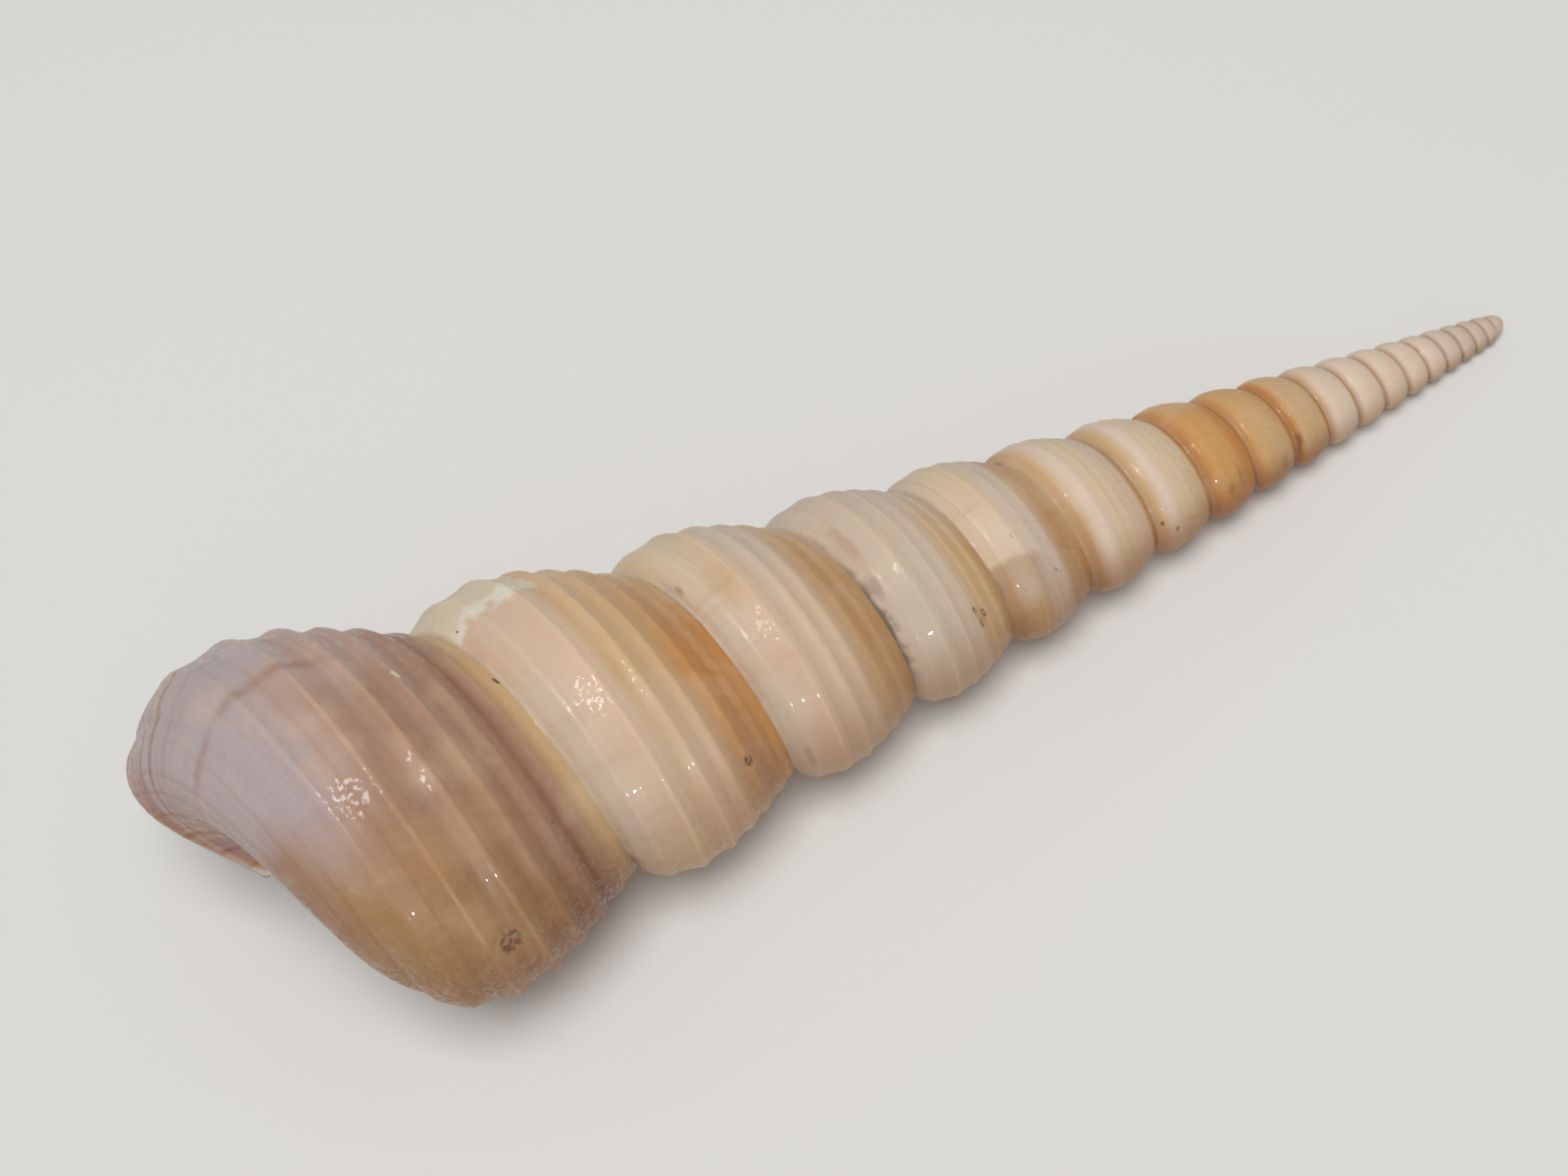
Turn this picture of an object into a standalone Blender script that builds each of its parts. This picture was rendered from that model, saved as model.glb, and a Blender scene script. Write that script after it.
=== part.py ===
"""Turret shell: a tall, many-whorled, right-handed sea-snail shell, lying on its side.

Metres, +Z up. The shell is coiled round its own Z axis, with the apex up and the growth
pole, the point that its spiral shrinks towards, at its own origin. It is then laid down.
Blender: run it from the text editor, or with blender --background --python part.py.
"""

import math

import bpy
import numpy as np

# Growth. "turns" counts whorls from the outer lip (0) back towards the apex.
APEX_TURNS = 19.3
SEAM_DROP = 0.1036  # down the axis, from the growth pole to the seam's end at the lip
GROWTH = (0.1842, -0.0054, 0.00026)  # shrinkage per turn, turn squared and turn cubed
TAPER = 0.1141  # seam radius for each metre down the axis
TAPER_START = 0.0050  # where the seam's cone comes to a point, above the growth pole

# Whorl profile, from its upper seam (across 0) to its lower seam (across 1).
BULGE = 0.1831  # share of the radius by which an early whorl swells
BULGE_GAIN = 0.1403  # further swelling of the last whorls
UPPER_POWER = 0.925  # shape of an early whorl's shoulder
UPPER_GAIN = 0.2844  # the last whorls swell lower down
LOWER_POWER = 0.607  # shape of the whorl's lower side
CHANGE_TURNS = 3.0  # how fast early whorls turn into late ones

# Spiral cords: place across the whorl, half width, and height as a share of the radius.
CORDS = (
    (0.105, 0.050, 0.018),
    (0.235, 0.060, 0.032),
    (0.360, 0.060, 0.034),
    (0.500, 0.075, 0.044),
    (0.685, 0.100, 0.044),
    (0.880, 0.070, 0.028),
)
CORD_FADE = 14.0  # turns over which the cords fade towards the apex

# Base, from the lower seam (0) in to the pillar (1), and the lip.
BASE_SWELL = 0.211
BASE_LEAN = 0.913
PILLAR_RISE = 0.208
LIP_FORWARD = 0.030  # turns by which the lip's middle runs ahead of its seam
LIP_BACK = 0.045  # turns by which its base lags

# The hollow behind the mouth.
WALL = 0.0011
HOLLOW_TURNS = 1.5
MOUTH_OVERSHOOT = 0.05

# How it lies: spire towards +X, on a flat of the last whorl and the tip, with the mouth down.
ROLL = math.radians(91.339)  # turned about its own axis
LEAN = math.radians(8.474)  # tip down
PLACE = (0.06422, -0.00091, 0.00061)  # the growth pole, with the bottom's middle at the origin

# Facets. The rows stand out a little, so that the flats between them touch the true round.
ROWS_A_TURN = 24
STAND_OUT = 1.0 / math.cos(math.pi / ROWS_A_TURN)
BASE_COLUMNS = 8
HOLLOW_POINTS = 18
HOLLOW_ROWS_A_TURN = 18
CREASES = (0.0, 0.06, 0.17, 0.30, 0.425, 0.58, 0.80, 0.945, 1.0)  # seams and furrows
CRESTS = tuple(place for place, _, _ in CORDS)
SPIRE_CREASES = (0.0, 0.17, 0.36, 0.58, 0.80, 1.0)
TIP_CREASES = (0.0, 0.30, 0.70, 1.0)
FULL_TURNS = 5.0  # whorls with every crest and furrow
CRESTED_TURNS = 9.0  # whorls with the crests and both seams
SPIRE_TURNS = 14.0


def seam(turns):
    """Drop down the axis and radius of the seam between two whorls."""
    shrink = (GROWTH[0] + (GROWTH[1] + GROWTH[2] * turns) * turns) * turns
    drop = SEAM_DROP * np.exp(-shrink)
    return drop, TAPER * (drop + TAPER_START)


def cord_height(turns, across):
    height = 0.0
    for place, half_width, share in CORDS:
        offset = np.clip((across - place) / half_width, -1.0, 1.0)
        height = height + share * np.cos(0.5 * math.pi * offset) ** 2
    return height * np.exp(-np.clip(turns, 0.0, None) / CORD_FADE)


def whorl_profile(turns, across, corded=True):
    """Drop and radius of a whorl's outside, without its turning."""
    upper_drop, upper_radius = seam(turns)
    lower_drop, lower_radius = seam(turns - 1.0)
    length = np.hypot(lower_drop - upper_drop, lower_radius - upper_radius)
    down = (lower_drop - upper_drop) / length
    out = (lower_radius - upper_radius) / length
    late = np.exp(-np.clip(turns + 1.0, 0.0, None) / CHANGE_TURNS)
    upper = UPPER_POWER + UPPER_GAIN * late
    crest = upper / (upper + LOWER_POWER)
    swell = across**upper * (1.0 - across) ** LOWER_POWER
    swell = swell / (crest**upper * (1.0 - crest) ** LOWER_POWER)
    height = (BULGE + BULGE_GAIN * late) * swell
    if corded:
        height = height + cord_height(turns, across)
    height = height * 0.5 * (upper_radius + lower_radius)
    drop = upper_drop + (lower_drop - upper_drop) * across - out * height
    radius = upper_radius + (lower_radius - upper_radius) * across + down * height
    return drop, radius


def base_profile(turns, inward):
    """Drop and radius of the base, from the lower seam in to the pillar."""
    upper_drop, _ = seam(turns)
    lower_drop, lower_radius = seam(turns - 1.0)
    swell = BASE_SWELL * np.sin(math.pi * inward**BASE_LEAN)
    rise = PILLAR_RISE * inward**2 * (3.0 - 2.0 * inward)
    drop = lower_drop + (lower_drop - upper_drop) * (swell - rise)
    return drop, lower_radius * (1.0 - inward)


def coiled(turns, drop, radius):
    """Points in space, turned round the axis: right-handed, so the mouth opens on the right."""
    angle = 2.0 * math.pi * turns
    return np.stack([radius * np.cos(angle), radius * np.sin(angle), -drop + 0.0 * angle], -1)


def whorl_points(turns, across):
    turns = turns - LIP_FORWARD * np.sin(math.pi * across)
    drop, radius = whorl_profile(turns, across)
    return coiled(turns, drop, STAND_OUT * radius)


def base_points(turns, inward):
    turns = turns + LIP_BACK * np.sin(math.pi * inward)
    drop, radius = base_profile(turns, inward)
    return coiled(turns, drop, STAND_OUT * radius)


def row_places(turns):
    """Where a row's points lie across the whorl: fewer towards the tip."""
    if turns < FULL_TURNS:
        return sorted(CREASES + CRESTS)
    if turns < CRESTED_TURNS:
        return [0.0, *CRESTS, 1.0]
    if turns < SPIRE_TURNS:
        return list(SPIRE_CREASES)
    return list(TIP_CREASES)


def eased(count):
    """Even steps from 0 to 1, closer together at both ends."""
    return 0.5 - 0.5 * np.cos(math.pi * np.arange(count + 1) / count)


def ladder(first, second, first_places, second_places):
    """Faces between two rows of point numbers: quads, and triangles where the rows differ."""
    faces = []
    i = 0
    j = 0
    while i < len(first) - 1 or j < len(second) - 1:
        next_first = first_places[i + 1] if i < len(first) - 1 else math.inf
        next_second = second_places[j + 1] if j < len(second) - 1 else math.inf
        if next_first == next_second:
            faces.append((first[i], first[i + 1], second[j + 1], second[j]))
            i += 1
            j += 1
        elif next_first < next_second:
            faces.append((first[i], first[i + 1], second[j]))
            i += 1
        else:
            faces.append((first[i], second[j + 1], second[j]))
            j += 1
    return faces


def strip(rows):
    """Quads between rows of point numbers, all of one length."""
    steps = list(range(len(rows[0])))
    return [face for pair in zip(rows, rows[1:]) for face in ladder(*pair, steps, steps)]


def fan(ring, middle):
    """Triangles from a ring of point numbers to its middle."""
    return [(a, b, middle) for a, b in zip(ring, ring[1:] + ring[:1])]


def outside_mesh():
    """The closed outside: coiled whorls that share their seams, the base, the tip and the mouth."""
    points = []

    def added(new_points):
        first = len(points)
        points.extend(new_points.tolist())
        return list(range(first, len(points)))

    places = [row_places(row / ROWS_A_TURN) for row in range(round(APEX_TURNS * ROWS_A_TURN) + 1)]
    whorls = []
    for row, across in enumerate(places):
        numbers = added(whorl_points(row / ROWS_A_TURN, np.array(across[:-1])))
        if row < ROWS_A_TURN:
            numbers += added(whorl_points(row / ROWS_A_TURN, np.ones(1)))
        else:
            numbers.append(whorls[row - ROWS_A_TURN][0])
        whorls.append(numbers)
    faces = []
    for row in range(len(whorls) - 1):
        faces += ladder(whorls[row], whorls[row + 1], places[row], places[row + 1])

    inward = eased(BASE_COLUMNS)[1:]
    base = [
        [whorls[row][-1]] + added(base_points(row / ROWS_A_TURN, inward))
        for row in range(ROWS_A_TURN + 1)
    ]
    faces += strip(base)

    pillar = [row[-1] for row in base]
    mouth = whorls[0] + base[0][1:] + pillar[1:] + base[-1][-2:0:-1]
    middle = added(np.mean([[points[number] for number in mouth]], axis=1))
    faces += fan(mouth[::-1], middle[0])

    tip = [row[0] for row in whorls[:-ROWS_A_TURN - 1 : -1]] + whorls[-1][:0:-1]
    tip_drop, tip_radius = seam(APEX_TURNS)
    middle = added(np.array([[0.0, 0.0, -tip_drop + 0.5 * tip_radius]]))
    faces += fan(tip[::-1], middle[0])
    return points, faces


def hollow_ring(turns):
    """The hollow's outline at one place along the coil: the whorl's own outline, set in and rounded."""
    down = np.linspace(0.0, 1.0, 13)
    parts = [
        whorl_profile(turns, down, corded=False),
        base_profile(turns, down[1:]),
        base_profile(turns + 1.0, down[::-1]),
    ]
    outline = np.concatenate([np.stack(part, -1) for part in parts])
    outline = np.concatenate([outline, outline[:1]])
    walked = np.concatenate([[0.0], np.cumsum(np.hypot(*np.diff(outline, axis=0).T))])
    steps = walked[-1] * np.arange(HOLLOW_POINTS) / HOLLOW_POINTS
    ring = np.stack([np.interp(steps, walked, outline[:, axis]) for axis in (0, 1)], -1)
    middle = ring.mean(axis=0)
    for _ in range(4):
        ring = 0.5 * ring + 0.25 * (np.roll(ring, 1, axis=0) + np.roll(ring, -1, axis=0))
    reach = np.hypot(*(ring - middle).T)[:, None]
    size = seam(turns)[1] / seam(0.0)[1]
    ring = middle + (ring - middle) * (1.0 - WALL * size / reach)
    return coiled(np.full(HOLLOW_POINTS, turns), ring[:, 0], ring[:, 1])


def hollow_mesh():
    """The hollow as a closed tube, from just outside the mouth back into the coil."""
    count = round((HOLLOW_TURNS + MOUTH_OVERSHOOT) * HOLLOW_ROWS_A_TURN)
    places = np.linspace(-MOUTH_OVERSHOOT, HOLLOW_TURNS, count + 1)
    rings = [hollow_ring(turns) for turns in places]
    points = np.concatenate(rings).tolist()
    numbers = [
        [index * HOLLOW_POINTS + step for step in range(HOLLOW_POINTS)] for index in range(count + 1)
    ]
    faces = strip([ring + ring[:1] for ring in numbers])
    for ring, order in ((numbers[0], -1), (numbers[-1], 1)):
        points.append(np.mean([points[number] for number in ring], axis=0).tolist())
        faces += fan(ring[::order], len(points) - 1)
    return points, faces


def mesh_object(name, mesh_parts, collection):
    mesh = bpy.data.meshes.new(name)
    mesh.from_pydata(mesh_parts[0], [], mesh_parts[1])
    mesh.validate()
    mesh.shade_smooth()
    made = bpy.data.objects.new(name, mesh)
    collection.objects.link(made)
    return made


def new_collection(name):
    collection = bpy.data.collections.new(name)
    bpy.context.scene.collection.children.link(collection)
    return collection


def shell_material():
    material = bpy.data.materials.new("shell")
    material.use_nodes = True
    shader = material.node_tree.nodes["Principled BSDF"]
    shader.inputs["Base Color"].default_value = (0.60, 0.43, 0.30, 1.0)
    shader.inputs["Roughness"].default_value = 0.28
    shader.inputs["Metallic"].default_value = 0.0
    return material


def build():
    for old in list(bpy.data.objects):
        bpy.data.objects.remove(old)
    shell = mesh_object("turret_shell", outside_mesh(), new_collection("Turret shell"))
    shell.data.materials.append(shell_material())
    shell.rotation_mode = "ZYX"
    shell.rotation_euler = (0.0, math.radians(90.0) + LEAN, ROLL)
    shell.location = PLACE

    hollow = mesh_object("hollow_cutter", hollow_mesh(), new_collection("Cutters"))
    hollow.parent = shell
    hollow.hide_render = True
    hollow.display_type = "WIRE"

    cut = shell.modifiers.new("Hollow", "BOOLEAN")
    cut.operation = "DIFFERENCE"
    cut.solver = "EXACT"
    cut.object = hollow


build()
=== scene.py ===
"""Turret shell: the looks of a tall right-handed sea-snail shell that lies on a pale table.

The shell is coiled round its own Z axis, as in its solid, and laid down with the same turn,
lean and place. Two numbers run over all of it. "Turns" counts whorls from the lip, at 0, back
towards the tip, and "across" runs over a whorl from its upper seam, at 0, to its lower, at 1,
and on over the base to the pillar, at 2. A UV map named growth holds both, and marks the lip's
edge and the hollow behind it with numbers of their own past 2.
Sizes are metres, and heights of relief are shares of the whorl's radius unless said otherwise.
"""

import math

import bpy
import numpy as np
from bpy.props import FloatProperty, FloatVectorProperty, PointerProperty
from mathutils import Euler, Matrix, Vector


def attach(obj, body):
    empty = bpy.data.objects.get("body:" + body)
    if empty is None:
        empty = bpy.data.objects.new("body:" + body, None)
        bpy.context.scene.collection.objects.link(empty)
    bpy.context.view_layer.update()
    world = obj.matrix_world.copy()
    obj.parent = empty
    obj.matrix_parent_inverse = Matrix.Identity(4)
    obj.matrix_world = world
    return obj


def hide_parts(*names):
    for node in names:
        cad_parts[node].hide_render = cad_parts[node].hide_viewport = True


bl_info = {
    "name": "Turret Shell",
    "version": (1, 0, 0),
    "blender": (4, 5, 0),
    "location": "View3D > Sidebar > Turret Shell",
    "description": "Builds a turret shell with its ribbed, weathered finish",
    "category": "Object",
}

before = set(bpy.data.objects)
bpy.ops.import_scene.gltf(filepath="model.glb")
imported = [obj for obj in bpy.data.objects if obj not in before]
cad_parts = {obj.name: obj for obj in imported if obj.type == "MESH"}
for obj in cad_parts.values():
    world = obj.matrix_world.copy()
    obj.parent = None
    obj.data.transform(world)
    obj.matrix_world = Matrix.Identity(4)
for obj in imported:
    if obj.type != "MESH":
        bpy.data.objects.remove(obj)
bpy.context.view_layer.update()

# Growth of the shell, as in its solid.
APEX_TURNS = 19.3
SEAM_DROP = 0.1036  # down to the seam at the lip
GROWTH = (0.1842, -0.0054, 0.00026)  # shrinking with the turns, their square and cube
TAPER = 0.1141
TAPER_START = 0.0050
BULGE = 0.1831  # swelling of a whorl between its seams
BULGE_GAIN = 0.1403  # more of it near the lip
UPPER_POWER = 0.925  # form of the swelling at the upper seam
UPPER_GAIN = 0.2844
LOWER_POWER = 0.607  # and at the lower
CHANGE_TURNS = 3.0  # turns over which the form near the lip fades
BASE_SWELL = 0.2107
BASE_LEAN = 0.913
PILLAR_RISE = 0.208
LIP_FORWARD = 0.030  # turns by which the lip bows forward on the whorl
LIP_BACK = 0.045  # and back on the base

# How it lies, as in its solid.
ROLL = math.radians(91.339)
LEAN = math.radians(8.474)
PLACE = (0.06422, -0.00091, 0.00061)

# Spiral cords, the sharp crest on each and the fine threads between them: place across the
# whorl, half width, height.
CORDS = (
    (0.105, 0.052, 0.013), (0.235, 0.066, 0.021), (0.360, 0.066, 0.024),
    (0.505, 0.080, 0.031), (0.690, 0.110, 0.034), (0.882, 0.075, 0.021),
)
CRESTS = (
    (0.105, 0.024, 0.003), (0.235, 0.030, 0.005), (0.360, 0.030, 0.005),
    (0.505, 0.034, 0.008), (0.690, 0.036, 0.008), (0.882, 0.032, 0.005),
)
THREADS = (
    (0.300, 0.022, 0.002), (0.432, 0.022, 0.002), (0.590, 0.024, 0.003),
    (0.770, 0.024, 0.002), (0.820, 0.024, 0.003), (0.945, 0.020, 0.003),
)
CORD_EDGE = 0.65  # how far the cords are drawn up to an edge
CORD_FADE = 3.8  # turns by which the cords are half as high
SMOOTH_SPIRE = (7.0, 14.0)  # turns over which the cords sink further
SMOOTH_SHARE = 0.8  # share of their height that they lose there
LEDGE = 0.007  # how far the upper edge stands on the whorl before it
LEDGE_RISE = 0.008  # across over which that ledge rises from the seam
LEDGE_FALL = 0.060  # across over which it sinks back into the whorl
SEAM_SINK = 0.045  # how much deeper the seams lie near the tip
SINK_WIDTH = 0.26  # across over which that sinking runs out

# Unevenness of growth: waves a turn, waves across the whorl, start. The slow waves add up, and
# the quick ones swell and fade each other.
SLOW_WAVES = ((2.3, 0.0, 0.2), (5.1, 0.4, 0.0))
SLOW_HEIGHT = 0.0012
QUICK_WAVES = ((13.7, 0.9, 0.0), (3.1, 0.0, 0.3))
QUICK_HEIGHT = 0.0008

# Fine mesh: rows a turn, and columns across the whorl up to a number of turns.
ROWS_A_TURN = 120
COLUMNS = ((2.0, 80), (4.0, 56), (8.0, 36), (12.0, 20), (APEX_TURNS + 1.0, 12))
BASE_COLUMNS = 24
RIM_ROWS = 6
RIM_BULGE = 0.003  # turns by which the lip's round edge stands forward
RIM_FULLNESS = 0.3  # how it eases in from both ends of the lip: the lower, the sooner
HOLLOW_TURNS = 2.5
HOLLOW_ROWS_A_TURN = 40
HOLLOW_POINTS = 96
HOLLOW_SMOOTHING = 12  # rounds
OUTLINE_POINTS = (41, 21)  # that trace the whorl and each base for the hollow
PARIETAL_SHARE = 0.3  # share of the wall where the hollow lies on the whorl before
TIP_ROWS = 10
TIP_SMOOTHING = 40  # rounds a row, which take the whorl's step out of the tip
TIP_HEIGHT = 0.42  # height of the tip's dome, as a share of its radius
TIP_FADE = 0.8  # turns over which the first whorl swells
SAME_STEP = 1e-9  # steps of two rows this close are one

# Marks in the growth map, in place of across, and the material slots.
TIP_MARK = 0.5
RIM_MARK = 2.2
HOLLOW_MARK = 2.5
CHALKY_RIM = (2.35, 2.25)  # marks over which the rim's chalk comes in
OUTSIDE = 0
INSIDE = 1


# ---------------------------------------------------------------- form


def seam(turns):
    """Drop down the axis and radius of the seam between two whorls."""
    shrink = (GROWTH[0] + (GROWTH[1] + GROWTH[2] * turns) * turns) * turns
    drop = SEAM_DROP * np.exp(-shrink)
    return drop, TAPER * (drop + TAPER_START)


def ridges(across, table, edged=0.0):
    """Height of spiral ridges, from rounded (edged 0) to drawn up to an edge (edged 1)."""
    height = 0.0
    for place, half_width, share in table:
        offset = 0.5 * math.pi * np.clip(np.abs(across - place) / half_width, 0.0, 1.0)
        rounded = np.cos(offset) ** 2
        drawn_up = 1.0 - np.sin(offset)
        height = height + share * ((1.0 - edged) * rounded + edged * drawn_up)
    return height


def seam_groove(across):
    """1 at both seams of a whorl, 0 away from them."""
    upper = np.cos(0.5 * math.pi * np.clip(across / SINK_WIDTH, 0.0, 1.0)) ** 2
    lower = np.cos(0.5 * math.pi * np.clip((1.0 - across) / SINK_WIDTH, 0.0, 1.0)) ** 2
    return upper + lower


def waviness(turns, across):
    """Slight unevenness of growth."""

    def wave(a_turn, a_width, start):
        return np.sin(2.0 * math.pi * (a_turn * turns + a_width * across + start))

    slow = wave(*SLOW_WAVES[0]) + wave(*SLOW_WAVES[1])
    quick = wave(*QUICK_WAVES[0]) * wave(*QUICK_WAVES[1])
    return SLOW_HEIGHT * slow + QUICK_HEIGHT * quick


def relief(turns, across):
    """Height of all that stands on the smooth whorl."""
    grown = np.clip(turns, 0.0, None)
    spire = np.clip((grown - SMOOTH_SPIRE[0]) / (SMOOTH_SPIRE[1] - SMOOTH_SPIRE[0]), 0.0, 1.0)
    fade = (1.0 - SMOOTH_SHARE * spire) / (1.0 + (grown / CORD_FADE) ** 2)
    ledge = LEDGE * (1.0 - np.exp(-across / LEDGE_RISE)) * np.exp(-across / LEDGE_FALL)
    ribs = ridges(across, CORDS, CORD_EDGE) + ridges(across, CRESTS) + ridges(across, THREADS)
    return (ribs + ledge) * fade - SEAM_SINK * spire * seam_groove(across) + waviness(turns, across)


def whorl_profile(turns, across, dressed=True):
    """Drop and radius of a whorl's outside, without its turning."""
    upper_drop, upper_radius = seam(turns)
    lower_drop, lower_radius = seam(turns - 1.0)
    length = np.hypot(lower_drop - upper_drop, lower_radius - upper_radius)
    down = (lower_drop - upper_drop) / length
    out = (lower_radius - upper_radius) / length
    late = np.exp(-np.clip(turns + 1.0, 0.0, None) / CHANGE_TURNS)
    upper = UPPER_POWER + UPPER_GAIN * late
    crest = upper / (upper + LOWER_POWER)
    swell = across**upper * (1.0 - across) ** LOWER_POWER
    swell = swell / (crest**upper * (1.0 - crest) ** LOWER_POWER)
    height = (BULGE + BULGE_GAIN * late) * swell
    height = height * np.clip((APEX_TURNS - turns) / TIP_FADE, 0.0, 1.0) ** 0.5
    if dressed:
        height = height + relief(turns, across)
    height = height * 0.5 * (upper_radius + lower_radius)
    drop = upper_drop + (lower_drop - upper_drop) * across - out * height
    radius = upper_radius + (lower_radius - upper_radius) * across + down * height
    return drop, radius


def base_profile(turns, inward):
    """Drop and radius of the base, from the lower seam (inward 0) to the pillar (inward 1)."""
    upper_drop, _ = seam(turns)
    lower_drop, lower_radius = seam(turns - 1.0)
    swell = BASE_SWELL * np.sin(math.pi * inward**BASE_LEAN)
    rise = PILLAR_RISE * inward**2 * (3.0 - 2.0 * inward)
    drop = lower_drop + (lower_drop - upper_drop) * (swell - rise)
    return drop, lower_radius * (1.0 - inward)


def coiled(turns, drop, radius):
    """Points in space, turned round the axis, right-handed."""
    angle = 2.0 * math.pi * turns
    return np.stack([radius * np.cos(angle), radius * np.sin(angle), -drop + 0.0 * angle], -1)


def whorl_points(turns, across):
    """Points of a whorl's outside. Its rows bow forward between the seams, as the lip does."""
    turns = turns - LIP_FORWARD * np.sin(math.pi * across)
    return coiled(turns, *whorl_profile(turns, across))


def base_points(turns, inward):
    """Points of the base. Its rows bow back between seam and pillar."""
    turns = turns + LIP_BACK * np.sin(math.pi * inward)
    return coiled(turns, *base_profile(turns, inward))


def eased(count):
    """Even steps from 0 to 1, closer together at both ends."""
    return 0.5 - 0.5 * np.cos(math.pi * np.arange(count + 1) / count)


def columns_at(turns):
    """Columns across the whorl: fewer towards the tip."""
    return next(count for limit, count in COLUMNS if turns < limit)


class Skin:
    """Points and faces, with turns and across at each face corner."""

    def __init__(self):
        self.points = []
        self.count = 0
        self.faces = []
        self.corners = []
        self.slots = []

    def add(self, points):
        """Adds points and returns their numbers."""
        numbers = list(range(self.count, self.count + len(points)))
        self.points.append(np.asarray(points, float).reshape(-1, 3))
        self.count += len(points)
        return numbers

    def face(self, numbers, marks, slot):
        """Adds a face, with its turns and across at each corner and its material slot."""
        self.faces.append(tuple(numbers))
        self.corners.extend(marks)
        self.slots.append(slot)

    def ladder(self, first, second, first_marks, second_marks, slot=OUTSIDE, steps=None):
        """Faces between two rows: quads, and triangles where their steps differ."""
        first_steps, second_steps = steps or ([m[1] for m in first_marks], [m[1] for m in second_marks])
        i = 0
        j = 0
        while i < len(first) - 1 or j < len(second) - 1:
            next_first = first_steps[i + 1] if i < len(first) - 1 else math.inf
            next_second = second_steps[j + 1] if j < len(second) - 1 else math.inf
            on_first = next_first <= next_second + SAME_STEP
            on_second = next_second <= next_first + SAME_STEP
            numbers = [first[i]]
            marks = [first_marks[i]]
            if on_first:
                numbers.append(first[i + 1])
                marks.append(first_marks[i + 1])
            if on_second:
                numbers.append(second[j + 1])
                marks.append(second_marks[j + 1])
            numbers.append(second[j])
            marks.append(second_marks[j])
            self.face(numbers, marks, slot)
            i += on_first
            j += on_second

    def collar(self, first, second, mark, slot, steps):
        """Faces between two closed rings, with one mark all over."""
        rows = [ring + ring[:1] for ring in (first, second)]
        self.ladder(*rows, *([mark] * len(row) for row in rows), slot, steps)

    def fan(self, ring, middle, mark, slot):
        """Closes a ring with triangles round a middle point."""
        for first, second in zip(ring, ring[1:] + ring[:1]):
            self.face((first, second, middle), (mark, mark, mark), slot)

    def mesh(self, name):
        mesh = bpy.data.meshes.new(name)
        mesh.from_pydata(np.concatenate(self.points).tolist(), [], self.faces)
        growth = mesh.uv_layers.new(name="growth")
        growth.data.foreach_set("uv", np.array(self.corners, np.float32).ravel())
        mesh.polygons.foreach_set("material_index", np.array(self.slots, np.int32))
        mesh.shade_smooth()
        mesh.update()
        return mesh


def add_whorls(skin):
    """The outside of the coil, one strip whose lower edge is the next turn's upper seam."""
    rows = []
    marks = []
    for row in range(round(APEX_TURNS * ROWS_A_TURN) + 1):
        turns = row / ROWS_A_TURN
        across = np.linspace(0.0, 1.0, columns_at(turns) + 1)
        if row < ROWS_A_TURN:
            numbers = skin.add(whorl_points(turns, across))
        else:
            numbers = skin.add(whorl_points(turns, across[:-1])) + [rows[row - ROWS_A_TURN][0]]
        rows.append(numbers)
        marks.append([(turns, place) for place in across.tolist()])
    for row in range(len(rows) - 1):
        skin.ladder(rows[row], rows[row + 1], marks[row], marks[row + 1])
    return rows


def add_base(skin, whorls):
    """The base of the last whorl, in to the pillar."""
    inward = eased(BASE_COLUMNS)
    rows = []
    marks = []
    for row in range(ROWS_A_TURN + 1):
        turns = row / ROWS_A_TURN
        rows.append([whorls[row][-1]] + skin.add(base_points(turns, inward[1:])))
        marks.append([(turns, 1.0 + place) for place in inward.tolist()])
    for row in range(ROWS_A_TURN):
        skin.ladder(rows[row], rows[row + 1], marks[row], marks[row + 1])
    return rows


def hollow_ring(turns, places, wall):
    """Points round the inside of the tube, at shares of the way round its outline."""
    down = np.linspace(0.0, 1.0, OUTLINE_POINTS[0])
    inward = np.linspace(0.0, 1.0, OUTLINE_POINTS[1])
    ahead = -LIP_FORWARD * np.sin(math.pi * down)
    back = LIP_BACK * np.sin(math.pi * inward)
    # Each part of the outline: its profile, its turning and its share of the wall.
    parts = [
        (whorl_profile(turns, down, dressed=False), ahead, 1.0),
        (base_profile(turns, inward[1:]), back[1:], 1.0),
        (base_profile(turns + 1.0, inward[::-1]), back[::-1], PARIETAL_SHARE),
    ]
    outline = np.concatenate([np.stack(profile, -1) for profile, _, _ in parts])
    shift = np.concatenate([part_shift for _, part_shift, _ in parts])
    share = np.concatenate([np.full(len(part_shift), part_share) for _, part_shift, part_share in parts])
    walked = np.concatenate([[0.0], np.cumsum(np.hypot(*np.diff(outline, axis=0).T))])
    even = walked[-1] * np.arange(HOLLOW_POINTS) / HOLLOW_POINTS

    def around(values):
        return np.interp(even, walked, values)

    ring = np.stack([around(outline[:, 0]), around(outline[:, 1]), around(shift), around(share)], -1)
    for _ in range(HOLLOW_SMOOTHING):
        ring = 0.5 * ring + 0.25 * (np.roll(ring, 1, axis=0) + np.roll(ring, -1, axis=0))
    size = seam(turns)[1] / seam(0.0)[1]
    middle = ring[:, :2].mean(axis=0)
    reach = np.hypot(*(ring[:, :2] - middle).T)[:, None]
    ring[:, :2] = middle + (ring[:, :2] - middle) * (1.0 - wall * size * ring[:, 3:] / reach)
    closed = np.concatenate([ring, ring[:1]])
    at = np.array(places) * HOLLOW_POINTS
    drop, radius, shift = (np.interp(at, np.arange(HOLLOW_POINTS + 1), closed[:, k]) for k in range(3))
    return coiled(turns + shift, drop, radius)


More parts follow.
